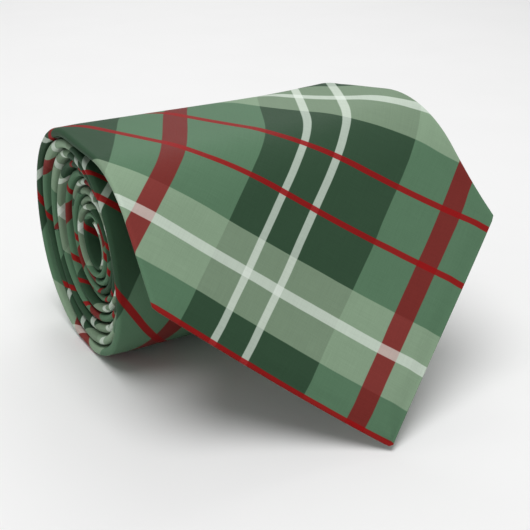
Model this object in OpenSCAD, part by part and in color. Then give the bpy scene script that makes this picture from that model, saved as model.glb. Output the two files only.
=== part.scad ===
// Necktie, rolled from its narrow tail and set down with the wide blade running off the roll
// to the surface in front.  Every layer of the tie follows one line: a straight run up from the
// point, a bend, a level stretch on to the top of the roll, and a spiral inwards to the tail.
//
// Frame: X across the tie, along the roll's axis; the blade's point is towards -Y; Z is up.
// The origin is on the surface, below the roll's axis, at the middle of the blade's width.

/* [Tie] */
// Width of the blade at its shoulders
blade_w = 102; // [85:1:105]
// Width of the neck, the narrowest part
neck_w = 38; // [34:1:44]
// Width of the tail at its shoulders
tail_w = 46; // [42:1:50]
// Distance from the blade's point to the start of the neck
taper_length = 900; // [800:10:950]
// Width of the folded border around the blade's lining
blade_border = 11; // [9:1:14]
// Width of the folded border around the tail's lining
tail_border = 8; // [7:1:9]
// Distance from the blade's point to where the back folds meet
fold_meet = 100; // [95:1:104]

/* [Roll] */
// Radius of the roll's outer face at its top
roll_r = 35.9; // [35:0.1:37]
// Number of turns from the top of the roll to the tail's end
turns = 10.5; // [10:0.1:10.7]
// Thickness of the outermost turn with the air under it
outer_pitch = 3.5; // [3.4:0.05:3.5]
// Thickness of the innermost turn with the air under it
inner_pitch = 2.1; // [2:0.05:2.15]
// Air between one turn and the next
turn_gap = 0.5; // [0.45:0.05:0.6]
// How far each turn sits in from the one outside it, at the flush end
recess_per_turn = 1.2; // [0:0.1:2]
// Turns that sit further in than the one before
recess_turns = 5; // [3:1:7]
// How far the roll sinks under its weight, which flattens its underside
sag = 0.55; // [0.55:0.01:0.6]

/* [Blade off the roll] */
// Slope of the blade's straight run
slope = 50; // [46:1:53]
// Radius of the bend at the top of the straight run
crest_r = 31; // [26:1:34]
// Length that the blade runs level between the top of the roll and the bend
level = 22; // [18:1:26]
// Height that the blade's right edge curls up towards the point
edge_curl = 18; // [10:1:20]

/* [Trimmings] */
// Width of the keeper loop across the tie
keeper_w = 62; // [50:1:68]
// Width of the care label
label_w = 28; // [20:1:34]
// Thickness of the sewing thread
thread_t = 0.5; // [0.4:0.05:0.5]

/* [Hidden] */

face_green = [0.33, 0.47, 0.36];
sage_green = [0.51, 0.60, 0.50];
wool_white = [0.88, 0.86, 0.80];
lining_green = [0.16, 0.25, 0.18];
thread_green = [0.24, 0.34, 0.26];
label_white = [0.90, 0.90, 0.88];

// Facets in each turn of the spiral, and one facet as a share of a turn.
facets = 20;
facet = 1 / facets;

// The layers of the tie as shares of its thickness, from the face down to the back.
face_in = 0.24;
wool = [0.26, 0.66];
lining = [0.70, 0.78];
fold_out = 0.82;
on_lining = [0.81, 0.99];
on_back = [1.02, 1.10];
seam_layer = [0.03, 0.20];

// Thickness of the folded edge, and half the gap that the slip stitch closes.
edge_t = 0.6;
slit = 0.3;
// Cut between two pieces that move on different bodies, and between pieces sewn end to end.
body_cut = 0.3;
seam_cut = 0.8;
// The blade's point is this far from being sharp.
blunt = 1.2;

// Shape of the taper from the blade to the neck: 1 is straight, more is bottle shaped.
taper_power = 1.5;
// Where pieces end on the roll, in turns from its top.
back_end = 5.5 * facet;
blade_end = 45.5 * facet;
wool_end = 67.5 * facet;
neck_end = 100.5 * facet;
keeper_turn = 10.5 * facet;
label_turn = 12.5 * facet;
label_facets = 2;

pitch_drop = (outer_pitch - inner_pitch) / 2 / turns;
function pitch(n) = outer_pitch - 2 * pitch_drop * n;
function radius(n) = roll_r - outer_pitch * n + pitch_drop * n * n;
function thickness(n) = pitch(n) - turn_gap;

blade_t = thickness(0);
axis_z = radius(0.5) - sag;
top_z = axis_z + roll_r;
tip_z = blade_t * cos(slope);
run_length = (top_z - tip_z - crest_r * (1 - cos(slope))) / sin(slope);
tip_y = -level - crest_r * sin(slope) - run_length * cos(slope);
crest_s = run_length + crest_r * slope * PI / 180;
top_s = crest_s + level;

// Distance along the tie, from the blade's point, at turn n.
function turn_s(n) = top_s + 2 * PI * (roll_r * n - outer_pitch * n * n / 2 + pitch_drop * n * n * n / 3);
end_s = turn_s(turns);

// Width of the tie at distance s, between its two pointed ends.
function body_w(s) = s < blade_w / 2 ? blade_w
    : s < taper_length
        ? neck_w + (blade_w - neck_w) * pow(1 - (s - blade_w / 2) / (taper_length - blade_w / 2), taper_power)
    : neck_w + (tail_w - neck_w) * (s - taper_length) / (end_s - taper_length);

// Distances of the left and right edges from the tie's middle, cut to a point at each end.
function half_w(s) = min(body_w(s) / 2, s, max(end_s - s, blunt));
function turn_of(s) = s <= top_s ? 0 : (s - top_s) / (2 * PI * roll_r);
function middle_x(s, n) = -blade_w / 2 + body_w(s) / 2 + recess_per_turn * min(n, recess_turns);

// Half the width of the back's opening, which shows the lining near each end.
function opening(s) =
    let (blade_wide = blade_w / 2 - blade_border * sqrt(2), tail_wide = tail_w / 2 - tail_border * sqrt(2))
    let (from_tail = end_s - s)
    s < blade_w / 2 ? max(slit, s - blade_border * sqrt(2))
    : s < fold_meet ? slit + (blade_wide - slit) * (fold_meet - s) / (fold_meet - blade_w / 2)
    : from_tail > tail_w ? slit
    : from_tail > tail_w / 2 ? slit + (tail_wide - slit) * (tail_w - from_tail) / (tail_w / 2)
    : max(slit, from_tail - tail_border * sqrt(2));

// A station is one cross-section of the tie:
// [distance along, y, z on the face, outward y, z, thickness, middle x, half width, opening, curl].
function station(s, face, outward, thick, n, lift) =
    [s, face[0], face[1], outward[0], outward[1], thick, middle_x(s, n), half_w(s), opening(s), lift];
function run_vertex(s) =
    let (a = s < run_length ? slope : max(slope - (s - run_length) / crest_r * 180 / PI, 0))
    let (face = s < run_length
        ? [tip_y + s * cos(slope), tip_z + s * sin(slope)]
        : [-crest_r * sin(a) - min(level, top_s - s), top_z - crest_r * (1 - cos(a))])
    station(s, face, [-sin(a), cos(a)], blade_t, 0, edge_curl * (1 - s / top_s) / 2);
function roll_vertex(n) =
    let (a = 360 * n)
    station(turn_s(n), [radius(n) * sin(a), axis_z + radius(n) * cos(a)], [sin(a), cos(a)],
        thickness(n), n, 0);

// The vertices that every piece's facets share on the run off the roll, in lengths of about run_step.
run_step = 3.2;
run_ends = [0, blade_w / 2, run_length, crest_s, top_s];
run_grid = concat(
    [for (j = [0:len(run_ends) - 2])
        let (from = run_ends[j], length = run_ends[j + 1] - from, count = ceil(length / run_step))
        for (i = [0:count - 1]) from + length * i / count],
    [top_s]);

// A station between two vertices lies on the facet that joins them.
function run_station(s) =
    let (i = max([for (j = [0:len(run_grid) - 2]) if (run_grid[j] <= s) j]))
    let (part = (s - run_grid[i]) / (run_grid[i + 1] - run_grid[i]))
    run_vertex(run_grid[i]) * (1 - part) + run_vertex(run_grid[i + 1]) * part;
function roll_station(n) =
    let (k = floor(n * facets - 0.5), low = max(0, (k + 0.5) * facet), high = (k + 1.5) * facet)
    let (part = (n - low) / (high - low))
    roll_vertex(low) * (1 - part) + roll_vertex(high) * part;

// Stations from s0 to s1 on the run off the roll, and from turn n0 to n1 on the spiral.
function run(s0, s1) = concat(
    [run_station(s0)],
    [for (s = run_grid) if (s > s0 + body_cut && s < s1 - body_cut) run_vertex(s)],
    [run_station(s1)]);
function roll(n0, n1) = concat(
    [roll_station(n0)],
    [for (k = [floor(n0 * facets):floor(n1 * facets)])
        let (n = (k + 0.5) * facet)
        if (n > n0 + facet / 20 && n < n1 - facet / 20) roll_vertex(n)],
    [roll_station(n1)]);

// A point of the tie at station st: x from the middle, and depth as a share of the thickness.
// The outermost turn lies flat where it meets the surface.
function tie_point(st, x, share) =
    let (half_blade = blade_w / 2)
    let (depth = share * st[5] - st[9] * (pow(st[7] / half_blade, 2) + (st[6] + x) / half_blade))
    let (z = st[2] - st[4] * depth)
    [st[6] + x, st[1] - st[3] * depth, max(z, share * st[5])];

// Sweep a section, a list of [x, share] points for each station, with its caps as quads.
module sweep(stations, sections, cap) {
    size = len(sections[0]);
    last = len(stations) - 1;
    points = [for (i = [0:last]) for (p = sections[i]) tie_point(stations[i], p[0], p[1])];
    sides = [
        for (i = [0:last - 1]) for (j = [0:size - 1])
            let (k = (j + 1) % size, a = i * size, b = a + size)
            for (t = [[a + j, a + k, b + k], [a + j, b + k, b + j]]) t
    ];
    first_cap = [for (q = cap) for (t = [[q[0], q[2], q[1]], [q[0], q[3], q[2]]]) t];
    last_cap = [for (q = cap) for (t = [[q[0], q[1], q[2]], [q[0], q[2], q[3]]])
        [for (v = t) v + last * size]];
    polyhedron(points = points, faces = concat(first_cap, sides, last_cap));
}

// A flat strip between two layers; its left and right edges are lists of x, one per station.
module strip(stations, left, right, layers) {
    sections = [for (i = [0:len(stations) - 1])
        [[left[i], layers[0]], [right[i], layers[0]], [right[i], layers[1]], [left[i], layers[1]]]];
    sweep(stations, sections, [[0, 1, 2, 3]]);
}

// The shell: the face, folded round both edges, with its two back folds either side of a slit.
module shell(stations) {
    sections = [for (st = stations)
        let (w = st[7], o = min(st[8], w - edge_t / 2), e = w - min(edge_t, (w - o) / 2))
        [[-w, 0], [w, 0], [w, 1], [o, 1], [o, fold_out], [e, fold_out],
         [e, face_in], [-e, face_in], [-e, fold_out], [-o, fold_out], [-o, 1], [-w, 1]]];
    sweep(stations, sections, [[0, 1, 6, 7], [1, 2, 5, 6], [2, 3, 4, 5], [0, 7, 8, 11], [8, 9, 10, 11]]);
}

// A layer that stays the given distance inside the tie's edges.
module inner_layer(stations, inset, layers) {
    edge = [for (st = stations) st[7] - inset];
    strip(stations, -edge, edge, layers);
}

// The lining shows through the back's opening and runs a little under the folds.
module tipping(stations) {
    tuck = 5;
    edge = [for (st = stations) min(st[7] - 1.5 * edge_t, st[8] + tuck)];
    strip(stations, -edge, edge, lining);
}

// Thread along both sides of the opening, sewing the lining to the folds.
module hem_thread(stations) {
    for (side = [-1, 1]) {
        outer = [for (st = stations) side * (st[8] - 0.2) + (side < 0 ? 0 : -thread_t)];
        strip(stations, outer, [for (x = outer) x + thread_t], on_lining);
    }
}

// Thread in the slit between the two back folds.
module slip_stitch(stations) {
    half = [for (st = stations) slit - 0.12];
    strip(stations, -half, half, on_lining);
}

// A short bar of thread across the slit, on the back.
module bar_tack(stations, width) {
    half = [for (st = stations) width / 2];
    strip(stations, -half, half, on_back);
}

// A plain rectangle on the back of the tie, at turn n0 and count facets long.
module back_patch(n0, count, width) {
    stations = roll(n0, n0 + count * facet);
    half = [for (st = stations) width / 2];
    strip(stations, -half, half, on_back);
}

// Rows of thread beside a back patch, at its left and right ends.
module side_stitches(n0, count, width) {
    stations = roll(n0, n0 + count * facet);
    for (side = [-1, 1]) {
        left = [for (st = stations) side * (width / 2 + thread_t) - thread_t / 2];
        strip(stations, left, [for (x = left) x + thread_t], on_back);
    }
}

// The share of a turn that is a given length at turn n.
function turn_share(length, n) = length / (2 * PI * radius(n));

point_end = blade_w / 2;
front_end = top_s - body_cut / 2;
back_start = turn_share(body_cut / 2, 0);
rolled_start = back_end + turn_share(body_cut, back_end);
inset = 1.5;
hem_start = blade_border * sqrt(2) + 3;
tack_s = fold_meet + 2;
tack_length = 2;
tack_w = 9;

module blade_shell_point() {
    color(face_green) shell(run(blunt, point_end));
}

module blade_interlining_point() {
    color(wool_white) inner_layer(run(4, point_end), inset, wool);
}

module blade_tipping_point() {
    color(lining_green) tipping(run(6, point_end));
}

module hem_thread_point() {
    color(thread_green) hem_thread(run(hem_start, point_end));
}

module blade_shell_front() {
    color(face_green) shell(run(point_end + body_cut, front_end));
}

module blade_interlining_front() {
    color(wool_white) inner_layer(run(point_end + body_cut, front_end), inset, wool);
}

module blade_tipping_front() {
    color(lining_green) tipping(run(point_end + body_cut, fold_meet + 4));
}

module hem_thread_front() {
    color(thread_green) hem_thread(run(point_end + body_cut, fold_meet - 6));
}

module blade_bar_tack() {
    color(thread_green) bar_tack(run(tack_s, tack_s + tack_length), tack_w);
}

module slip_stitch_front() {
    color(thread_green) slip_stitch(run(fold_meet + 1, front_end));
}

module blade_shell_back() {
    color(face_green) shell(roll(back_start, back_end));
}

module blade_interlining_back() {
    color(wool_white) inner_layer(roll(back_start, back_end), inset, wool);
}

module slip_stitch_back() {
    color(thread_green) slip_stitch(roll(back_start, back_end));
}

module blade_shell_rolled() {
    color(face_green) shell(roll(rolled_start, blade_end));
}

neck_start = blade_end + turn_share(seam_cut, blade_end);
tail_start = neck_end + turn_share(seam_cut, neck_end);
tail_end = turns - turn_share(blunt, turns);

module neck_shell() {
    color(sage_green) shell(roll(neck_start, neck_end));
}

module tail_shell() {
    color(face_green) shell(roll(tail_start, tail_end));
}

module blade_interlining_rolled() {
    color(wool_white) inner_layer(roll(rolled_start, wool_end), inset, wool);
}

tail_wool_start = wool_end + turn_share(seam_cut, wool_end);

module tail_interlining() {
    color(wool_white) inner_layer(roll(tail_wool_start, tail_end - turn_share(3, turns)), inset, wool);
}

// Thread across a cut between two pieces sewn end to end.
module seam_thread(n_end, layers, inset_x) {
    margin = turn_share(0.2, n_end);
    stations = [roll_station(n_end + margin), roll_station(n_end + turn_share(seam_cut, n_end) - margin)];
    inner_layer(stations, inset_x, layers);
}

module interlining_tack() {
    color(thread_green) seam_thread(wool_end, [0.35, 0.60], 3);
}

module blade_seam_thread() {
    color(thread_green) seam_thread(blade_end, seam_layer, 1);
}

module tail_seam_thread() {
    color(thread_green) seam_thread(neck_end, seam_layer, 1);
}

stitch_end = tail_end - turn_share(tail_w + 6, turns);

module slip_stitch_rolled() {
    color(thread_green) slip_stitch(roll(rolled_start, stitch_end));
}

module keeper_loop() {
    color(face_green) back_patch(keeper_turn, 1, keeper_w);
}

module keeper_loop_stitches() {
    color(thread_green) side_stitches(keeper_turn, 1, keeper_w);
}

module care_label() {
    color(label_white) back_patch(label_turn, label_facets, label_w);
}

module care_label_stitches() {
    color(thread_green) side_stitches(label_turn, label_facets, label_w);
}

module tail_tipping() {
    color(lining_green)
        tipping(roll(tail_end - turn_share(tail_w + 4, turns), tail_end - turn_share(6, turns)));
}

module tail_bar_tack() {
    n = tail_end - turn_share(tail_w + 3, turns);
    color(thread_green) bar_tack(roll(n, n + turn_share(tack_length, n)), 5);
}

blade_shell_point();
blade_interlining_point();
blade_tipping_point();
hem_thread_point();
blade_shell_front();
blade_interlining_front();
blade_tipping_front();
hem_thread_front();
blade_bar_tack();
slip_stitch_front();
blade_shell_back();
blade_interlining_back();
slip_stitch_back();
blade_shell_rolled();
neck_shell();
tail_shell();
blade_interlining_rolled();
tail_interlining();
interlining_tack();
slip_stitch_rolled();
blade_seam_thread();
tail_seam_thread();
keeper_loop();
keeper_loop_stitches();
care_label();
care_label_stitches();
tail_tipping();
tail_bar_tack();
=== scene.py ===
import math

import bpy
import numpy as np
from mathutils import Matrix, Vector


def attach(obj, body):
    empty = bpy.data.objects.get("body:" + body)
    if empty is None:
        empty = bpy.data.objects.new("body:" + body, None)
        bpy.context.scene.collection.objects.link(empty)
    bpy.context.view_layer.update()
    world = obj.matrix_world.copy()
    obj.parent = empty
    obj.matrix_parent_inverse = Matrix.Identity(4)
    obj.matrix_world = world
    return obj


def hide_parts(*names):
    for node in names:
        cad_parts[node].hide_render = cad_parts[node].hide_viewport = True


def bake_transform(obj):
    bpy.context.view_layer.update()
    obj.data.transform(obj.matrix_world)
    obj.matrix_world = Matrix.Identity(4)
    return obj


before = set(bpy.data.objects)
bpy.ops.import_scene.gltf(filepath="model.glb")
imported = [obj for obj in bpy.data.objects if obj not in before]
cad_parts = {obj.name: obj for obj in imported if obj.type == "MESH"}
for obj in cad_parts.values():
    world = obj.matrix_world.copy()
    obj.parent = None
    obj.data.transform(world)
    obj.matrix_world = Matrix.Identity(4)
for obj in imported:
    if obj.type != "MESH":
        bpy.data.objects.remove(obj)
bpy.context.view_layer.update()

# The tie's own sizes, in metres. They are the same as the CAD part's.
BLADE_WIDTH = 0.102
NECK_WIDTH = 0.038
TAIL_WIDTH = 0.046
TAPER_LENGTH = 0.900
TAPER_POWER = 1.5
BLADE_BORDER = 0.011
TAIL_BORDER = 0.008
FOLD_MEET = 0.100
SLIT = 0.0003
POINT_WIDTH = 0.0012

# The roll, and the blade running off it.
ROLL_RADIUS = 0.0359
TURNS = 10.5
OUTER_PITCH = 0.0035
INNER_PITCH = 0.0021
TURN_GAP = 0.0005
RECESS_PER_TURN = 0.0012
RECESS_TURNS = 5
SAG = 0.00055
SLOPE = math.radians(50)
CREST_RADIUS = 0.031
LEVEL_LENGTH = 0.022
EDGE_CURL = 0.018

# How much higher than the CAD part's the blade's right edge stands at the bend, as the photo's
# does, and where along the tie that rises and falls away.
CREST_FULLNESS = 0.0040
CREST_RISE = (0.055, 0.100)
CREST_FALL = (0.112, 0.165)

# How far the edges wander from turn to turn, and over what lengths: two waves.
SWAY_START = 0.08
LONG_SWAY = (0.0005, 0.031)
SHORT_SWAY = (0.0003, 0.0127)

# Thicknesses of the cloths.
SILK = 0.00035
LINING = 0.0002
AIR = 0.00005
TAPE = 0.00025
THREAD_RADIUS = 0.00022

PITCH_DROP = (OUTER_PITCH - INNER_PITCH) / 2 / TURNS


def roll_radius(turn):
    return ROLL_RADIUS - OUTER_PITCH * turn + PITCH_DROP * turn**2


def tie_thickness(turn):
    return OUTER_PITCH - 2 * PITCH_DROP * turn - TURN_GAP


AXIS_HEIGHT = roll_radius(0.5) - SAG
TOP_HEIGHT = AXIS_HEIGHT + ROLL_RADIUS
TIP_HEIGHT = tie_thickness(0) * math.cos(SLOPE)
CREST_DROP = CREST_RADIUS * (1 - math.cos(SLOPE))
RUN_LENGTH = (TOP_HEIGHT - TIP_HEIGHT - CREST_DROP) / math.sin(SLOPE)
TIP_Y = -LEVEL_LENGTH - CREST_RADIUS * math.sin(SLOPE) - RUN_LENGTH * math.cos(SLOPE)
TOP_ALONG = RUN_LENGTH + CREST_RADIUS * SLOPE + LEVEL_LENGTH


def along_at(turn):
    """Distance along the tie, from the blade's point, at a turn of the roll."""
    length = ROLL_RADIUS * turn - OUTER_PITCH * turn**2 / 2 + PITCH_DROP * turn**3 / 3
    return TOP_ALONG + 2 * math.pi * length


# The way back, from distance to turn, is looked up in a fine list.
LOOKUP_STEPS = 4000
TURN_STEPS = np.linspace(0, TURNS, LOOKUP_STEPS)
ALONG_STEPS = along_at(TURN_STEPS)
END_ALONG = along_at(TURNS)


def turn_at(along):
    return np.interp(along, ALONG_STEPS, TURN_STEPS)


def smooth(value, low, high):
    """0 below low, 1 above high, and a smooth rise between them."""
    part = np.clip((value - low) / (high - low), 0, 1)
    return part * part * (3 - 2 * part)


def body_width(along):
    """The tie's width, leaving out its two points: it narrows to the neck and widens a little."""
    shoulder = BLADE_WIDTH / 2
    left = np.clip(1 - (along - shoulder) / (TAPER_LENGTH - shoulder), 0, 1)
    taper = NECK_WIDTH + (BLADE_WIDTH - NECK_WIDTH) * left**TAPER_POWER
    widening = np.clip((along - TAPER_LENGTH) / (END_ALONG - TAPER_LENGTH), 0, 1)
    return np.minimum(taper, BLADE_WIDTH) + (TAIL_WIDTH - NECK_WIDTH) * widening


def half_width(along):
    """Half the tie's width, down to nothing at its two pointed ends."""
    to_tail = np.maximum(END_ALONG - along, POINT_WIDTH)
    return np.minimum(np.minimum(body_width(along) / 2, along), to_tail)


def middle(along):
    """Where the tie's middle is across the roll: its left edges are nearly flush."""
    recess = RECESS_PER_TURN * np.minimum(turn_at(along), RECESS_TURNS)
    return (body_width(along) - BLADE_WIDTH) / 2 + recess


def sway(along):
    """The edges wander a little from turn to turn, as a hand-rolled tie's do."""
    on_roll = smooth(along, TOP_ALONG, TOP_ALONG + SWAY_START)
    long_wave = LONG_SWAY[0] * np.sin(along / LONG_SWAY[1])
    short_wave = SHORT_SWAY[0] * np.sin(along / SHORT_SWAY[1] + 1)
    return on_roll * (long_wave + short_wave)


def opening(along):
    """Half the gap between the back's folds, where the lining shows."""
    blade = BLADE_WIDTH / 2 - BLADE_BORDER * math.sqrt(2)
    tail = TAIL_WIDTH / 2 - TAIL_BORDER * math.sqrt(2)
    from_tail = END_ALONG - along
    knots = [0, BLADE_WIDTH / 2 - blade, BLADE_WIDTH / 2, FOLD_MEET]
    widths = [SLIT, SLIT, blade, SLIT]
    tail_knots = [0, TAIL_WIDTH / 2 - tail, TAIL_WIDTH / 2, TAIL_WIDTH]
    tail_widths = [SLIT, SLIT, tail, SLIT]
    return np.maximum(
        np.interp(along, knots, widths), np.interp(from_tail, tail_knots, tail_widths)
    )


def centre_line(along):
    """The face's line: y, z and the outward direction's y, z."""
    turn = turn_at(along)
    angle = 2 * math.pi * turn
    lean = np.clip(SLOPE - (along - RUN_LENGTH) / CREST_RADIUS, 0, SLOPE)
    level = np.minimum(LEVEL_LENGTH, TOP_ALONG - along)
    straight = along < RUN_LENGTH
    run_y = np.where(
        straight, TIP_Y + along * math.cos(SLOPE), -CREST_RADIUS * np.sin(lean) - level
    )
    run_z = np.where(
        straight,
        TIP_HEIGHT + along * math.sin(SLOPE),
        TOP_HEIGHT - CREST_RADIUS * (1 - np.cos(lean)),
    )
    radius = roll_radius(turn)
    rolled = along > TOP_ALONG
    y = np.where(rolled, radius * np.sin(angle), run_y)
    z = np.where(rolled, AXIS_HEIGHT + radius * np.cos(angle), run_z)
    out_y = np.where(rolled, np.sin(angle), -np.sin(lean))
    out_z = np.where(rolled, np.cos(angle), np.cos(lean))
    return y, z, out_y, out_z


def place(along, across, depth):
    """Points of the tie: across from its middle, and depth below its face."""
    along, across, depth = np.broadcast_arrays(along, across, depth)
    y, z, out_y, out_z = centre_line(along)
    x = middle(along) + across + sway(along)
    side = x / (BLADE_WIDTH / 2)
    full = smooth(along, *CREST_RISE) * (1 - smooth(along, *CREST_FALL))
    lift = EDGE_CURL * np.clip(1 - along / TOP_ALONG, 0, 1) / 2 * side * (1 + side)
    lift = lift + CREST_FULLNESS * full * np.clip(side, 0, 1)**3
    below = depth - lift
    lying = np.maximum(z - out_z * below, depth)
    return np.stack([x, y - out_y * below, lying], axis=-1)


# ---------------------------------------------------------------- the folded cross-section

# The blade is pressed flatter than the roll, and the pressing fades out between these places.
PRESSED = (0.045, TOP_ALONG + 0.02)


class Section:
    """The tie's cross-section at each distance along it."""

    # The tie thins towards its two long edges, over the width of the soft edge. Half an edge's
    # thickness is a share of the tie's, and the edge is rounded with a radius.
    soft_edge = 0.007
    edge_share = 0.44
    thinnest_edge = 0.0005
    edge_radius = 0.0012

    # Towards a point the tie is narrow, so these keep to a share of half its width.
    most_soft = 0.8
    most_swell = 0.3
    most_round = 0.45

    # The opening and the lining keep to a share of the flat part of it.
    most_opening = 0.97
    most_lining = 0.95

    # An inner layer's own edge is never smaller than this: its radius and half its thickness.
    least_round = 0.0001
    least_edge = 0.00006

    # How much thinner and sharper the edges are where the blade is pressed.
    pressed_thinner = 0.0007
    pressed_sharper = 0.0004

    # The back's two folds dip where they meet: the cloth's outside and its inside.
    outer_dip = 0.00045
    inner_dip = 0.0003
    fold_softness = 0.0008
    lining_under_fold = 0.005

    # Points across each part of a layer. The back's are closer together near the edge.
    face_columns = 21
    edge_columns = 11
    back_columns = 15
    back_crowding = 0.8
    band_columns = 25

    def __init__(self, along):
        self.along = along[:, None]
        thickness = tie_thickness(turn_at(self.along))
        pressed = 1 - smooth(self.along, *PRESSED)
        self.half = half_width(self.along)
        self.middle = thickness / 2
        thinned = self.edge_share * thickness - self.pressed_thinner * pressed
        self.edge_half = np.maximum(thinned, self.thinnest_edge)
        radius = self.edge_radius - self.pressed_sharper * pressed
        self.edge_round = np.minimum(radius, self.most_round * self.half)
        self.full_half = np.minimum(
            thickness / 2, self.edge_half + self.most_swell * self.half
        )
        self.flat_half = self.half - self.edge_round
        self.opening = np.minimum(opening(self.along), self.most_opening * self.flat_half)

    def swell(self, across, inside):
        """Half the thickness of what is inside the given layer, at a place across the tie."""
        reach = np.minimum(self.soft_edge, self.most_soft * self.half)
        rise = smooth(self.flat_half - across, 0, reach)
        return self.edge_half + (self.full_half - self.edge_half) * rise - inside

    def half_loop(self, inside, opening_half, folded_edge, back_drop=0.0):
        """The right half of a layer, from the face's middle round the edge to the back: where
        its points are across the tie, how deep, and how far across the cloth itself."""
        face = np.linspace(0, 1, self.face_columns)[None, :] * self.flat_half
        round_edge = np.linspace(0, math.pi, self.edge_columns)[None, 1:-1]
        edge_round = np.maximum(self.edge_round - inside, self.least_round)
        edge_half = np.maximum(self.edge_half - inside, self.least_edge)
        edge = self.flat_half + edge_round * np.sin(round_edge)
        back_part = np.linspace(0, 1, self.back_columns)[None, :] ** self.back_crowding
        back = self.flat_half + (opening_half - self.flat_half) * back_part
        dip = folded_edge * np.exp(-(back - opening_half) / self.fold_softness)
        arc = math.pi * (self.edge_round + self.edge_half) / 2
        across = np.concatenate([face, edge, back], axis=1)
        depth = np.concatenate(
            [
                self.middle - self.swell(face, inside),
                self.middle - edge_half * np.cos(round_edge),
                self.middle + self.swell(back, inside) - dip - back_drop,
            ],
            axis=1,
        )
        cloth = np.concatenate(
            [
                face,
                self.flat_half + arc * round_edge / math.pi,
                self.flat_half + arc + self.flat_half - back,
            ],
            axis=1,
        )
        return across, depth, cloth

    def both_halves(self, *half):
        """Mirror a half loop, from the left of the back to the right of the back."""
        across, depth, cloth = half
        return (
            np.concatenate([-across[:, :0:-1], across], axis=1),
            np.concatenate([depth[:, :0:-1], depth], axis=1),
            np.concatenate([-cloth[:, :0:-1], cloth], axis=1),
        )

    def shell(self):
        """Silk folded round the wool: its outside, then its inside back again."""
        outside = self.both_halves(*self.half_loop(0, self.opening, self.outer_dip))
        inside = self.both_halves(*self.half_loop(SILK, self.opening, self.inner_dip))
        return [np.concatenate([a, b[:, ::-1]], axis=1) for a, b in zip(outside, inside)]

    def wool(self):
        """The interlining fills the shell, with room left for the lining at its back."""
        room = 2 * AIR + LINING
        nothing = np.zeros_like(self.half)
        return self.both_halves(*self.half_loop(SILK + AIR, nothing, 0, room))

    def band(self, reach, top, bottom):
        """A flat layer as wide as reach each side, between two depths given as functions."""
        columns = np.linspace(-1, 1, self.band_columns)[None, :] * reach
        upper, lower = top(np.abs(columns)), bottom(np.abs(columns))
        across = np.concatenate([columns, columns[:, ::-1]], axis=1)
        depth = np.concatenate([upper, lower[:, ::-1]], axis=1)
        return across, depth, across

    def lining_reach(self):
        """Half the lining's width."""
        under_fold = self.opening + self.lining_under_fold
        return np.minimum(under_fold, self.most_lining * self.flat_half)

    def lining(self):
        """The tipping lies on the wool, and its sides run under the folds."""
        reach = self.lining_reach()

        def outer(across):
            return self.middle + self.swell(across, SILK + AIR)

        def inner(across):
            return outer(across) - LINING

        return self.band(reach, inner, outer)

    def on_back(self, half):
        """A tape or loop lying on the tie's back."""

        def inner(across):
            return self.middle + self.swell(across, 0) + AIR

        def outer(across):
            return inner(across) + TAPE

        return self.band(np.full_like(self.half, half), inner, outer)


# ---------------------------------------------------------------- how the print is drawn out

# The cloth is cut on the bias. It is drawn out lengthwise where it goes over the bend, round the
# back of the roll and under it, and the print with it: each stretch's start, end and share.
STRETCHES = [(0.092, 0.130, 0.50), (0.130, 0.240, 0.30), (0.240, 0.290, 0.50)]
STRETCH_SOFTNESS = 0.006


def beyond(along, at):
    """How far along is beyond a place, with a soft start."""
    far = along - at
    return (np.sqrt(far**2 + STRETCH_SOFTNESS**2) + far) / 2


def print_along(along):
    """Distance along the printed pattern."""
    drawn = sum(share * (beyond(along, start) - beyond(along, end))
                for start, end, share in STRETCHES)
    return along - drawn


# ---------------------------------------------------------------- meshes along the tie

SHORTEST_STEP = 0.0001
NO_LENGTH = 1e-12


def in_scene(name, data):
    """A new object in the scene, for a mesh, lamp or camera."""
    made = bpy.data.objects.new(name, data)
    bpy.context.scene.collection.objects.link(made)
    return made


def end_faces(loop):
    """Close one end of a layer: its loop goes out along one side and comes back along the other.
    A layer with an odd loop is thick, and its left and right halves are closed on their own."""
    centre = len(loop) // 2
    if len(loop) % 2:
        return half_end(loop[: centre + 1]) + half_end(loop[centre:])
    return half_end(loop)


def half_end(loop):
    """Faces between the two sides of a thin loop, leaving out those that have no area."""
    last = len(loop) - 1
    faces = []
    for j in range(len(loop) // 2):
        corners = [loop[j], loop[j + 1], loop[last - j - 1], loop[last - j]]
        faces.append(list(dict.fromkeys(int(corner) for corner in corners)))
    return [face for face in faces if len(face) > 2]


def with_neighbours(along):
    """The distances, with one more before the first and after the last, still on the tie."""
    step = along[1] - along[0]
    wider = np.concatenate([[along[0] - step], along, [along[-1] + step]])
    wider = np.clip(wider, 4 * SHORTEST_STEP, END_ALONG - SHORTEST_STEP)
    wider[0] = min(wider[0], along[0] - SHORTEST_STEP)
    wider[-1] = max(wider[-1], along[-1] + SHORTEST_STEP)
    return wider


def surface_normals(points):
    """Normals of the curved surface itself, so that the border between two pieces can't show."""
    lengthways = points[2:] - points[:-2]
    around = np.roll(points, -1, axis=1) - np.roll(points, 1, axis=1)
    normals = np.cross(lengthways, around[1:-1])
    lengths = np.linalg.norm(normals, axis=-1, keepdims=True)
    return normals / np.maximum(lengths, NO_LENGTH)


def outward_quads(points):
    """Four-sided faces between neighbouring loops, turned to face outwards."""
    rows, columns = points.shape[:2]
    index = np.arange(rows * columns).reshape(rows, columns)
    after = np.roll(index, -1, axis=1)
    quads = np.stack([index[:-1], index[1:], after[1:], after[:-1]], axis=-1).reshape(-1, 4)
    corner = points.reshape(-1, 3)[quads[: columns * 2]]
    centre = corner.mean(axis=(0, 1))
    facing = np.cross(corner[:, 1] - corner[:, 0], corner[:, 3] - corner[:, 0])
    if np.sum(facing * (corner.mean(axis=1) - centre)) < 0:
        quads = quads[:, ::-1]
    return index, quads


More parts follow.
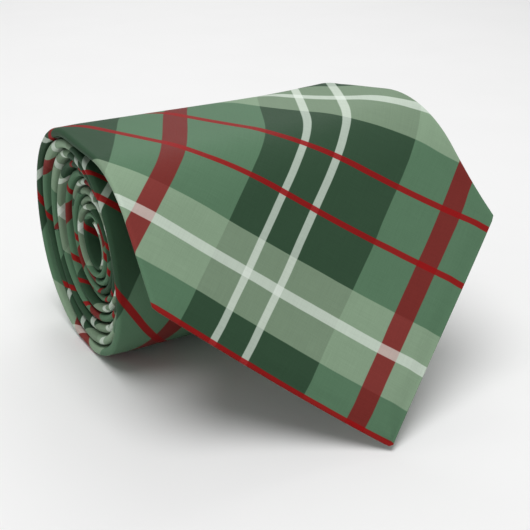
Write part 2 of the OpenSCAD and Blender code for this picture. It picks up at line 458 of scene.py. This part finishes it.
def agree(normals, points, quads):
    """The normals, turned round if they point against the first face."""
    first, second, third = points.reshape(-1, 3)[quads[0][:3]]
    face_normal = np.cross(second - first, third - first)
    if np.dot(face_normal, normals.reshape(-1, 3)[quads[0][0]]) < 0:
        return -normals
    return normals


def tube(name, along, layer, material):
    """A mesh that follows the tie through the distances given, with a section from layer().
    Its "cloth" attribute holds where each point is on the cloth, and how far from the edge."""
    wider = with_neighbours(along)
    across, depth, cloth = layer(Section(wider))
    points = place(wider[:, None], across, depth)
    normals = surface_normals(points)
    points, across, cloth = points[1:-1], across[1:-1], cloth[1:-1]
    index, quads = outward_quads(points)
    normals = agree(normals, points, quads)
    faces = quads.tolist() + end_faces(index[0]) + end_faces(index[-1][::-1])
    mesh = bpy.data.meshes.new(name)
    mesh.from_pydata(points.reshape(-1, 3).tolist(), [], faces)
    mesh.polygons.foreach_set("use_smooth", [True] * len(mesh.polygons))
    mesh.normals_split_custom_set_from_vertices(normals.reshape(-1, 3).tolist())
    from_edge = np.abs(Section(along).half - np.abs(across))
    printed = np.broadcast_to(print_along(along)[:, None], cloth.shape)
    facts = np.stack([cloth, printed, from_edge], axis=-1)
    attribute = mesh.attributes.new("cloth", "FLOAT_VECTOR", "POINT")
    attribute.data.foreach_set("vector", facts.reshape(-1).astype(np.float32))
    mesh.materials.append(material)
    return in_scene(name, mesh)


def steps(start, end, spacing):
    """Distances along the tie from start to end."""
    return np.linspace(start, end, max(2, int(round((end - start) / spacing)) + 1))


def roll_steps(start, end, per_turn):
    """Distances along the tie from one turn to another, evenly spaced in angle."""
    turns = np.linspace(start, end, max(2, int(round((end - start) * per_turn)) + 1))
    return along_at(turns)


# ---------------------------------------------------------------- where the tie bends

# Where one piece ends and the next begins, as turns of the roll and as distances along the tie.
BACK_TURN = 0.14
ROLL_TURN = 0.42
BLADE_END_TURN = 2.275
NECK_START_TURN = BLADE_END_TURN + 0.002
WOOL_END_TURN = 3.375
TAIL_WOOL_TURN = WOOL_END_TURN + 0.006
NECK_END_TURN = 5.025
TAIL_START_TURN = NECK_END_TURN + 0.003
TAIL_LINING_TURNS = (9.35, 10.35)
LAST_WOOL_TURN = TURNS - 0.09
LAST_TURN = TURNS - 0.015
POINT_BORDER = 0.071
BACK_BORDER = along_at(BACK_TURN)
ROLL_BORDER = along_at(ROLL_TURN)


def bend_points(start, end):
    """Two points in the middle of the tie's thickness, at the two ends of a bend."""
    half = tie_thickness(0) / 2
    pair = place(np.array([start, end]), np.zeros(2), np.full(2, half))
    return [Vector([0, p[1], p[2]]) for p in pair]


# Where each bend starts and where it ends, along the tie.
POINT_BEND = bend_points(0.067, 0.033)
LIFT_BEND = bend_points(along_at(0.12), 0.076)
PEEL_BEND = bend_points(along_at(0.40), along_at(0.16))


def at_point(made):
    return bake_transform(made)


def at_front(made):
    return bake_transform(made)


def at_back(made):
    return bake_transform(made)


def at_roll(made):
    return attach(made, "roll")


# ---------------------------------------------------------------- materials

# Shaders measure in millimetres, and meshes in metres.
MILLIMETRES = 1000.0

# The curve between a colour as it is seen and the light that shaders use.
SCREEN_GAMMA = 2.2


class Shader:
    """Short names for the nodes that every cloth here is made of."""

    def __init__(self, name):
        self.material = bpy.data.materials.new(name)
        self.material.use_nodes = True
        self.tree = self.material.node_tree
        self.surface = self.tree.nodes["Principled BSDF"]

    def node(self, kind, **settings):
        made = self.tree.nodes.new(kind)
        for key, value in settings.items():
            setattr(made, key, value)
        return made

    def put(self, socket, value):
        if isinstance(value, bpy.types.NodeSocket):
            self.tree.links.new(value, socket)
        else:
            socket.default_value = value

    def math(self, operation, first, second=0.0, third=0.0):
        made = self.node("ShaderNodeMath", operation=operation)
        for socket, value in zip(made.inputs, (first, second, third)):
            self.put(socket, value)
        return made.outputs[0]

    def ramp(self, value, low, high, to_low=0.0, to_high=1.0):
        made = self.node("ShaderNodeMapRange", interpolation_type="SMOOTHSTEP")
        for socket, given in zip(made.inputs, (value, low, high, to_low, to_high)):
            self.put(socket, given)
        return made.outputs[0]

    def mix(self, factor, first, second, kind="MIX"):
        made = self.node("ShaderNodeMix", data_type="RGBA", blend_type=kind)
        self.put(made.inputs[0], factor)
        self.put(made.inputs[6], first)
        self.put(made.inputs[7], second)
        return made.outputs[2]

    def light(self, color):
        """Turn a colour as it is seen into linear light."""
        made = self.node("ShaderNodeGamma")
        self.put(made.inputs["Color"], color)
        made.inputs["Gamma"].default_value = SCREEN_GAMMA
        return made.outputs[0]

    def combine(self, x, y, z):
        made = self.node("ShaderNodeCombineXYZ")
        for socket, value in zip(made.inputs, (x, y, z)):
            self.put(socket, value)
        return made.outputs[0]

    def noise(self, vector, scale, detail=3.0):
        made = self.node("ShaderNodeTexNoise")
        self.put(made.inputs["Vector"], vector)
        self.put(made.inputs["Scale"], scale)
        self.put(made.inputs["Detail"], detail)
        return made.outputs["Fac"]

    def ribs(self, distance, spacing):
        """Waves from -1 to 1, one for each spacing in millimetres."""
        return self.math("SINE", self.math("MULTIPLY", distance, 2 * math.pi / spacing))

    def streaks(self, first, second, first_scale, second_scale):
        """Noise that is stretched along one direction of the cloth."""
        stretched = self.combine(self.math("MULTIPLY", first, first_scale),
                                 self.math("MULTIPLY", second, second_scale), 0.0)
        return self.noise(stretched, 1.0)

    def cloth(self):
        """Millimetres across and along the cloth as it was cut, and from its folded edge."""
        found = self.node("ShaderNodeAttribute", attribute_name="cloth")
        parts = self.node("ShaderNodeSeparateXYZ")
        self.put(parts.inputs[0], found.outputs["Vector"])
        return [self.math("MULTIPLY", parts.outputs[i], MILLIMETRES) for i in range(3)]

    def place(self):
        """Millimetres in the object's own space."""
        found = self.node("ShaderNodeTexCoord")
        scaled = self.node("ShaderNodeVectorMath", operation="SCALE")
        self.put(scaled.inputs[0], found.outputs["Object"])
        scaled.inputs["Scale"].default_value = MILLIMETRES
        return scaled.outputs[0]

    def bump(self, height, distance, strength=1.0, under=None):
        made = self.node("ShaderNodeBump")
        made.inputs["Strength"].default_value = strength
        made.inputs["Distance"].default_value = distance
        self.put(made.inputs["Height"], height)
        if under is not None:
            self.put(made.inputs["Normal"], under)
        return made.outputs[0]

    def finish(self, color, roughness, normal, **extra):
        self.put(self.surface.inputs["Base Color"], color)
        self.put(self.surface.inputs["Roughness"], roughness)
        self.put(self.surface.inputs["Normal"], normal)
        for name, value in extra.items():
            self.put(self.surface.inputs[name.replace("_", " ")], value)
        return self.material


def paint(red, green, blue):
    """A colour given as it is seen, from 0 to 255, as the linear light that shaders use."""
    linear = []
    for seen in (red, green, blue):
        part = seen / 255
        linear.append(part / 12.92 if part <= 0.04045 else ((part + 0.055) / 1.055) ** 2.4)
    return (*linear, 1.0)


def ink(red, green, blue):
    """A printed colour as it is seen. Prints mix as they look, and are turned to light later."""
    return (red / 255, green / 255, blue / 255, 1.0)


# How soft a printed edge is, each side, and how far it wanders in all, in millimetres.
PRINT_EDGE = 0.12
PRINT_WANDER = 0.5

# The two sets of ribs in the twill are this far apart.
LEFT_RIBS = 0.42
RIGHT_RIBS = 0.30

# The tartan's stripes, in the order they are printed: the diagonal that they are measured along,
# the ink, how strongly it covers, [middle, width] of each stripe and their repeat in millimetres.
SETT = 73.2
GROUND = ink(88, 120, 94)
STRIPES = [
    ("right", ink(53, 77, 58), 1.00, [[45.9, 37.4], [117.7, 40.2]], 2 * SETT),
    ("left", ink(161, 180, 154), 0.62, [[21.4, 22.4]], SETT),
    ("right", ink(126, 25, 28), 0.76, [[11.5, 5.5]], SETT),
    ("right", ink(227, 236, 226), 0.68, [[45.3, 2.1], [54.7, 2.0]], SETT),
    ("left", ink(224, 233, 224), 0.66, [[21.9, 3.0]], SETT),
    ("left", ink(148, 20, 22), 0.86, [[0.35, 1.5], [48.5, 1.8], [67.2, 1.9]], 2 * SETT),
    ("left", ink(148, 20, 22), 0.86, [[121.7, 1.8], [140.4, 1.9]], 2 * SETT),
]


def printed_color(shader, left, right, flat):
    """The tartan, printed over its ground stripe by stripe."""
    wander = shader.noise(flat, 0.05)
    wander = shader.math("MULTIPLY_ADD", wander, PRINT_WANDER, -PRINT_WANDER / 2)
    color = GROUND
    for diagonal, tint, strength, bands, repeat in STRIPES:
        line = shader.math("ADD", left if diagonal == "left" else right, wander)
        for centre, width in bands:
            off = shader.math("SUBTRACT", line, centre)
            off = shader.math("WRAP", off, repeat / 2, -repeat / 2)
            off = shader.math("ABSOLUTE", off)
            here = shader.ramp(
                off, width / 2 + PRINT_EDGE, width / 2 - PRINT_EDGE, 0.0, strength
            )
            color = shader.mix(here, color, tint)
    return shader.light(color)


def tartan_material(name, shift=0.0):
    """Printed silk twill. The shift is how far along the print this panel was cut."""
    shader = Shader(name)
    across, along, edge = shader.cloth()
    along = shader.math("ADD", along, shift)
    half_root = math.sqrt(0.5)
    left = shader.math("MULTIPLY", shader.math("ADD", along, across), half_root)
    right = shader.math("MULTIPLY", shader.math("SUBTRACT", along, across), half_root)
    flat = shader.combine(left, right, 0.0)
    color = printed_color(shader, left, right, flat)
    # Twill: fine ribs across both sets of threads, which are a little uneven.
    weave = shader.math(
        "MULTIPLY", shader.ribs(left, LEFT_RIBS), shader.ribs(right, RIGHT_RIBS)
    )
    slub = shader.math("ADD", shader.streaks(left, right, 3.0, 0.12),
                       shader.streaks(left, right, 0.12, 3.0))
    # The colour is a little cloudy, and worn paler at the folded edges.
    cloud = shader.noise(flat, 0.035, 2.0)
    tone = shader.math("MULTIPLY_ADD", weave, 0.025, 1.0)
    tone = shader.math("MULTIPLY_ADD", shader.math("SUBTRACT", slub, 1.0), 0.16, tone)
    tone = shader.math("MULTIPLY_ADD", shader.math("SUBTRACT", cloud, 0.5), 0.10, tone)
    worn = shader.ramp(edge, 1.6, 0.0, 0.0, 0.10)
    tone = shader.math("ADD", tone, worn)
    color = shader.mix(1.0, color, shader.combine(tone, tone, tone), "MULTIPLY")
    rough = shader.math("MULTIPLY_ADD", slub, 0.08, 0.46)
    rough = shader.math("ADD", rough, worn)
    threads = shader.bump(weave, 0.00002, 0.5)
    drape = shader.bump(shader.noise(flat, 0.09, 1.0), 0.0012, 0.25, threads)
    slubs = shader.bump(slub, 0.00008, 0.35, drape)
    return shader.finish(
        color, rough, slubs,
        Sheen_Weight=0.015, Sheen_Roughness=0.45, Specular_IOR_Level=0.07,
    )


def wool_material():
    shader = Shader("interlining_wool")
    place_mm = shader.place()
    fibre = shader.noise(place_mm, 3.0, 6.0)
    nap = shader.noise(place_mm, 0.7, 4.0)
    cream = shader.mix(fibre, paint(214, 206, 186), paint(240, 235, 222))
    color = shader.mix(shader.math("MULTIPLY", nap, 0.35), cream, paint(196, 186, 162))
    normal = shader.bump(fibre, 0.0002, 0.6, shader.bump(nap, 0.0004, 0.4))
    return shader.finish(color, shader.ramp(nap, 0.2, 0.8, 0.85, 0.98), normal, Sheen_Weight=0.5)


def lining_material():
    shader = Shader("lining_satin")
    across, along = shader.cloth()[:2]
    ribs = shader.ribs(across, 0.35)
    streak_and_sheen = shader.streaks(across, along, 2.5, 0.05)
    # Painted sheen: lighter streaks along the satin and lighter lines on its ribs are mixed into
    # its colour, standing in for the sheen of satin. The streaks also vary its roughness and bump.
    color = shader.mix(streak_and_sheen, paint(36, 58, 41), paint(58, 86, 63))
    color = shader.mix(shader.ramp(ribs, -1, 1, 0.0, 0.18), color, paint(78, 104, 82))
    rough = shader.ramp(streak_and_sheen, 0.2, 0.8, 0.24, 0.42)
    normal = shader.bump(ribs, 0.00002, 0.4, shader.bump(streak_and_sheen, 0.0001, 0.4))
    return shader.finish(color, rough, normal, Sheen_Weight=0.15, Anisotropic=0.6)


def thread_material():
    shader = Shader("sewing_thread")
    place_mm = shader.place()
    twist = shader.noise(place_mm, 6.0, 2.0)
    color = shader.mix(twist, paint(58, 84, 62), paint(96, 126, 100))
    normal = shader.bump(twist, 0.00008, 0.6)
    return shader.finish(color, shader.ramp(twist, 0.3, 0.7, 0.45, 0.65), normal, Sheen_Weight=0.3)


def tape_material():
    shader = Shader("label_tape")
    across, along = shader.cloth()[:2]
    weave = shader.math("MULTIPLY", shader.ribs(along, 0.4), shader.ribs(across, 0.28))
    color = shader.mix(shader.ramp(weave, -1, 1), paint(214, 214, 208), paint(240, 240, 236))
    rough = shader.ramp(weave, -1, 1, 0.5, 0.62)
    return shader.finish(color, rough, shader.bump(weave, 0.00004, 0.5), Sheen_Weight=0.2)


NECK_SHIFT = 11.0
TAIL_SHIFT = 62.0
TARTAN = tartan_material("tartan_cloth")
NECK_TARTAN = tartan_material("tartan_cloth_neck", NECK_SHIFT)
TAIL_TARTAN = tartan_material("tartan_cloth_tail", TAIL_SHIFT)
WOOL = wool_material()
SATIN = lining_material()
THREAD = thread_material()
TAPE_CLOTH = tape_material()


# ---------------------------------------------------------------- cloth pieces


def cloth_piece(name, along, layer, material, node, follow, width_at):
    """A sheet of the tie: its mesh, what it rides, the node it stands for, and its flat size."""
    made = tube(name, along, layer, material)
    follow(made)
    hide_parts(node)
    widths = width_at(along)
    return made


def shell_width(along):
    """The cut width of the shell: the face, both edges and both folds."""
    section = Section(along)
    edges = math.pi * (section.edge_round + section.edge_half)
    return (2 * section.flat_half + edges + 2 * (section.flat_half - section.opening))[:, 0]


def wool_width(along):
    return 2 * Section(along).half[:, 0]


def lining_width(along):
    return 2 * Section(along).lining_reach()[:, 0]


# The first centimetre of the point has closer steps.
POINT_STEPS = np.concatenate([steps(0.0006, 0.010, 0.0005), steps(0.0105, POINT_BORDER, 0.0015)])
FRONT_STEPS = steps(POINT_BORDER, BACK_BORDER, 0.0015)
BACK_STEPS = roll_steps(BACK_TURN, ROLL_TURN, 120)

cloth_piece("tartan_point", POINT_STEPS, Section.shell, TARTAN,
            "blade_shell_point", at_point, shell_width)
cloth_piece("tartan_front", FRONT_STEPS, Section.shell, TARTAN,
            "blade_shell_front", at_front, shell_width)
cloth_piece("tartan_back", BACK_STEPS, Section.shell, TARTAN,
            "blade_shell_back", at_back, shell_width)
cloth_piece("tartan_rolled", roll_steps(ROLL_TURN, BLADE_END_TURN, 110), Section.shell, TARTAN,
            "blade_shell_rolled", at_roll, shell_width)
cloth_piece("tartan_neck", roll_steps(NECK_START_TURN, NECK_END_TURN, 90), Section.shell,
            NECK_TARTAN, "neck_shell", at_roll, shell_width)
cloth_piece("tartan_tail", roll_steps(TAIL_START_TURN, LAST_TURN, 70), Section.shell,
            TAIL_TARTAN, "tail_shell", at_roll, shell_width)

cloth_piece("wool_point", steps(0.004, POINT_BORDER, 0.002), Section.wool, WOOL,
            "blade_interlining_point", at_point, wool_width)
cloth_piece("wool_front", FRONT_STEPS, Section.wool, WOOL,
            "blade_interlining_front", at_front, wool_width)
cloth_piece("wool_back", BACK_STEPS, Section.wool, WOOL,
            "blade_interlining_back", at_back, wool_width)
cloth_piece("wool_rolled", roll_steps(ROLL_TURN, WOOL_END_TURN, 72), Section.wool, WOOL,
            "blade_interlining_rolled", at_roll, wool_width)
cloth_piece("wool_tail", roll_steps(TAIL_WOOL_TURN, LAST_WOOL_TURN, 60), Section.wool, WOOL,
            "tail_interlining", at_roll, wool_width)

cloth_piece("lining_point", steps(0.006, POINT_BORDER, 0.002), Section.lining, SATIN,
            "blade_tipping_point", at_point, lining_width)
cloth_piece("lining_front", steps(POINT_BORDER, FOLD_MEET + 0.004, 0.0015), Section.lining, SATIN,
            "blade_tipping_front", at_front, lining_width)
cloth_piece("lining_tail", roll_steps(*TAIL_LINING_TURNS, 60), Section.lining, SATIN,
            "tail_tipping", at_roll, lining_width)


def back_tape(name, start, end, half, material, slot, node):
    """A small rectangle lying on the tie's back."""
    return cloth_piece(
        name, roll_steps(start, end, 200), lambda section: section.on_back(half), material,
        node, at_roll, lambda along: np.full(len(along), 2 * half),
    )


# The first and last turn of each, and half its length across the tie.
KEEPER = (0.525, 0.575)
LABEL = (0.625, 0.725)
KEEPER_HALF = 0.031
LABEL_HALF = 0.014
back_tape("keeper_band", *KEEPER, KEEPER_HALF, TARTAN, "tartan_cloth", "keeper_loop")
back_tape("label_blank", *LABEL, LABEL_HALF, TAPE_CLOTH, "label_tape", "care_label")


# ---------------------------------------------------------------- stitches

# A thread is made of rings of points. It narrows to END_SHARE of its thickness at its ends, and
# each ring is turned a little from the last.
THREAD_RINGS = 7
THREAD_SIDES = 6
END_SHARE = 0.25
RING_TWIST = 0.5
ANY_DIRECTION = [0.3, 0.5, 0.8]

# How high the stitches arch, how far apart they are and how long each is.
ARCH = 0.0002
LOW_ARCH = 0.0001
TACK_ARCH = 0.00025
HEM_SPACING = 0.0032
HEM_LENGTH = 0.0011
SLIP_SPACING = 0.006
SLIP_LENGTH = 0.0016
SEAM_SPACING = 0.0022
SEAM_LENGTH = 0.0018
WOOL_SEAM_LENGTH = 0.0022
TACK_SPACING = 0.00036
TAPE_STITCH_LENGTH = 0.0009
TAPE_STITCHES_PER_TURN = 90

# How far stitches reach to each side: in from an edge and out past it, or across a seam.
HEM_REACH = (0.0006, 0.0007)
TAPE_REACH = (0.0005, 0.0006)
SLIP_REACH = 0.0005
SEAM_SLANT = 0.0007
TACK_SLANT = 0.0001
SEAM_OFFSET = 0.0004

# How deep they lie: inside the back, or as a share of the tie's thickness below its face.
SLIP_DEPTH = 0.0003
SEAM_DEPTH = 0.13
WOOL_SEAM_DEPTH = 0.45

# How far a seam's stitches stay inside the tie's edges, and a tape's inside its ends, in turns.
SEAM_INSET = 0.002
WOOL_INSET = 0.004
TAPE_INSET = (0.004, 0.008)


def thread_points(first, last, arch):
    """Rings of points round an arched thread between two places given as along, across, depth."""
    part = np.linspace(0, 1, THREAD_RINGS)
    first, last = np.array(first, float), np.array(last, float)
    line = first[None, :] + (last - first)[None, :] * part[:, None]
    line[:, 2] += arch * np.sin(math.pi * part)
    spine = place(line[:, 0], line[:, 1], line[:, 2])
    ahead = spine[-1] - spine[0]
    ahead /= np.linalg.norm(ahead)
    side = np.cross(ahead, ANY_DIRECTION)
    side /= np.linalg.norm(side)
    up = np.cross(ahead, side)
    points = []
    for ring in range(THREAD_RINGS):
        fullness = math.sqrt(math.sin(math.pi * part[ring]))
        thick = THREAD_RADIUS * (END_SHARE + (1 - END_SHARE) * fullness)
        for k in range(THREAD_SIDES):
            turn = 2 * math.pi * k / THREAD_SIDES + RING_TWIST * ring
            points.append(spine[ring] + thick * (math.cos(turn) * side + math.sin(turn) * up))
    return points


def thread_faces(base):
    """The faces of a thread whose first point has the number base."""
    sides = THREAD_SIDES
    faces = []
    for ring in range(THREAD_RINGS - 1):
        for k in range(sides):
            a, b = base + ring * sides + k, base + ring * sides + (k + 1) % sides
            faces.append([a, b, b + sides, a + sides])
    faces.append([base + k for k in range(sides)][::-1])
    faces.append([base + (THREAD_RINGS - 1) * sides + k for k in range(sides)])
    return faces


def stitches(name, starts, ends, node, follow, arch=ARCH):
    """A row of stitches, each from one of the starts to its own end."""
    points, faces = [], []
    for first, last in zip(starts, ends):
        faces += thread_faces(len(points))
        points += thread_points(first, last, arch)
    mesh = bpy.data.meshes.new(name)
    mesh.from_pydata([tuple(p) for p in points], [], faces)
    mesh.polygons.foreach_set("use_smooth", [True] * len(mesh.polygons))
    mesh.materials.append(THREAD)
    made = in_scene(name, mesh)
    follow(made)
    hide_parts(node)
    return made


def back_depth(along, across, inside=0.0):
    """Depth of the tie's back at one place, or of a point that far inside it."""
    section = Section(np.atleast_1d(np.array(along, float)))
    swell = section.swell(np.full((1, 1), abs(across)), 0)
    return float((section.middle + swell)[0, 0]) - inside


def hem_stitches(name, start, end, node, follow):
    """Slanting stitches that hold the lining to both sides of the opening."""
    starts, ends = [], []
    for along in steps(start, end, HEM_SPACING):
        gap = float(Section(np.array([along])).opening[0, 0])
        for side in (-1, 1):
            inner = side * (gap - HEM_REACH[0])
            outer = side * (gap + HEM_REACH[1])
            starts.append((along, inner, back_depth(along, inner, SILK + AIR)))
            ends.append((along + HEM_LENGTH, outer, back_depth(along, outer)))
    return stitches(name, starts, ends, node, follow)


def slip_stitches(name, start, end, node, follow):
    """Stitches in the seam between the two back folds."""
    places = steps(start, end, SLIP_SPACING)
    starts = [(s, -SLIP_REACH, back_depth(s, 0, SLIP_DEPTH)) for s in places]
    ends = [(s + SLIP_LENGTH, SLIP_REACH, back_depth(s, 0, SLIP_DEPTH)) for s in places]
    return stitches(name, starts, ends, node, follow, LOW_ARCH)


def bar_of_thread(name, along, half, node, follow, rows=6):
    """A bar tack: threads close together across the seam."""
    places = [along + TACK_SPACING * row for row in range(rows)]
    starts = [(s, -half, back_depth(s, half)) for s in places]
    ends = [(s + TACK_SLANT, half, back_depth(s, half)) for s in places]
    return stitches(name, starts, ends, node, follow, TACK_ARCH)


def seam_stitches(name, turn, length, depth_share, node, inset=SEAM_INSET):
    """Stitches that join two pieces end to end, across the tie."""
    along = along_at(turn) + SEAM_OFFSET
    half = float(half_width(np.array(along))) - inset
    depth = float(tie_thickness(turn_at(along))) * depth_share
    across = np.arange(-half, half, SEAM_SPACING)
    starts = [(along - length / 2, x, depth) for x in across]
    ends = [(along + length / 2, x + SEAM_SLANT, depth) for x in across]
    return stitches(name, starts, ends, node, at_roll, 0.0)


def end_stitches(name, start, end, half, node):
    """A row of stitches up each end of a tape on the back."""
    rows = max(3, int((end - start) * TAPE_STITCHES_PER_TURN))
    starts, ends = [], []
    for turn in np.linspace(start + TAPE_INSET[0], end - TAPE_INSET[1], rows):
        along = along_at(turn)
        for side in (-1, 1):
            inner = side * (half - TAPE_REACH[0])
            outer = side * (half + TAPE_REACH[1])
            starts.append((along, inner, back_depth(along, inner) + AIR + TAPE))
            ends.append((along + TAPE_STITCH_LENGTH, outer, back_depth(along, outer)))
    return stitches(name, starts, ends, node, at_roll, LOW_ARCH)


# Where the rows of stitches start and end, and how far most stay clear of a piece's own ends.
CLEAR_START = 0.002
CLEAR_END = 0.004
HEM_START = BLADE_BORDER * math.sqrt(2) + 0.003
BLADE_TACK = 0.102
SLIP_START = 0.107
SLIP_END = END_ALONG - 0.054
TAIL_TACK = END_ALONG - 0.051
BLADE_TACK_HALF = 0.0045
TAIL_TACK_HALF = 0.0025

hem_stitches("hem_stitches_point", HEM_START, POINT_BORDER - CLEAR_START,
             "hem_thread_point", at_point)
hem_stitches("hem_stitches_front", POINT_BORDER, FOLD_MEET - CLEAR_END,
             "hem_thread_front", at_front)
slip_stitches("seam_stitches_front", SLIP_START, BACK_BORDER - CLEAR_END,
              "slip_stitch_front", at_front)
slip_stitches("seam_stitches_back", BACK_BORDER + CLEAR_START, ROLL_BORDER - CLEAR_END,
              "slip_stitch_back", at_back)
slip_stitches("seam_stitches_rolled", ROLL_BORDER + CLEAR_START, SLIP_END,
              "slip_stitch_rolled", at_roll)
bar_of_thread("bar_tack_blade", BLADE_TACK, BLADE_TACK_HALF, "blade_bar_tack", at_front)
bar_of_thread("bar_tack_tail", TAIL_TACK, TAIL_TACK_HALF, "tail_bar_tack", at_roll, 5)
seam_stitches("neck_seam_stitches", BLADE_END_TURN, SEAM_LENGTH, SEAM_DEPTH,
              "blade_seam_thread")
seam_stitches("tail_seam_stitches", NECK_END_TURN, SEAM_LENGTH, SEAM_DEPTH,
              "tail_seam_thread")
seam_stitches("wool_join_stitches", WOOL_END_TURN, WOOL_SEAM_LENGTH, WOOL_SEAM_DEPTH,
              "interlining_tack", WOOL_INSET)
end_stitches("keeper_stitches", *KEEPER, KEEPER_HALF, "keeper_loop_stitches")
end_stitches("label_stitches", *LABEL, LABEL_HALF, "care_label_stitches")


# ---------------------------------------------------------------- floor, light and camera


def flat_plane(name, size, height):
    mesh = bpy.data.meshes.new(name)
    corners = [(x * size, y * size, height) for x, y in ((-1, -1), (1, -1), (1, 1), (-1, 1))]
    mesh.from_pydata(corners, [], [[0, 1, 2, 3]])
    return in_scene(name, mesh)


floor = flat_plane("floor", 8.0, -0.0001)
floor_shader = Shader("pale_floor")
speck = floor_shader.noise(floor_shader.place(), 0.02, 2.0)
floor.data.materials.append(floor_shader.finish(
    floor_shader.mix(speck, paint(241, 241, 241), paint(244, 244, 244)), 0.9,
    floor_shader.bump(speck, 0.0001, 0.05), Specular_IOR_Level=0.1,
))

world = bpy.data.worlds.new("studio")
bpy.context.scene.world = world
world.use_nodes = True
world.node_tree.nodes["Background"].inputs["Color"].default_value = (1.0, 1.0, 1.0, 1.0)
world.node_tree.nodes["Background"].inputs["Strength"].default_value = 0.345


def soft_light(name, place_at, aim, size, power):
    lamp = bpy.data.lights.new(name, "AREA")
    lamp.shape = "DISK"
    lamp.size = size
    lamp.energy = power
    made = in_scene(name, lamp)
    made.location = place_at
    made.rotation_mode = "QUATERNION"
    made.rotation_quaternion = (Vector(aim) - Vector(place_at)).to_track_quat("-Z", "Y")


AIM = (0.0, -0.02, 0.03)
soft_light("key_light", (-0.19, -0.20, 1.15), AIM, 0.85, 9.2)
soft_light("back_light", (0.35, 0.75, 0.80), AIM, 0.7, 3.0)

# The camera stands in front, to the left and above the tie.
TURN_LEFT = math.radians(29.7)
LOOK_DOWN = math.radians(24.95)
DISTANCE = 0.3074
TARGET = Vector((0.0072, -0.0130, 0.01979))
FORWARD = Vector((
    math.sin(TURN_LEFT) * math.cos(LOOK_DOWN),
    math.cos(TURN_LEFT) * math.cos(LOOK_DOWN),
    -math.sin(LOOK_DOWN),
))
lens = bpy.data.cameras.new("camera")
lens.sensor_width = 36.0
lens.lens = 65.31
lens.clip_start = 0.01
lens.clip_end = 50.0
camera = in_scene("camera", lens)
camera.location = TARGET - DISTANCE * FORWARD
camera.rotation_mode = "QUATERNION"
camera.rotation_quaternion = FORWARD.to_track_quat("-Z", "Y")
bpy.context.scene.camera = camera
bpy.context.scene.view_settings.view_transform = "Standard"
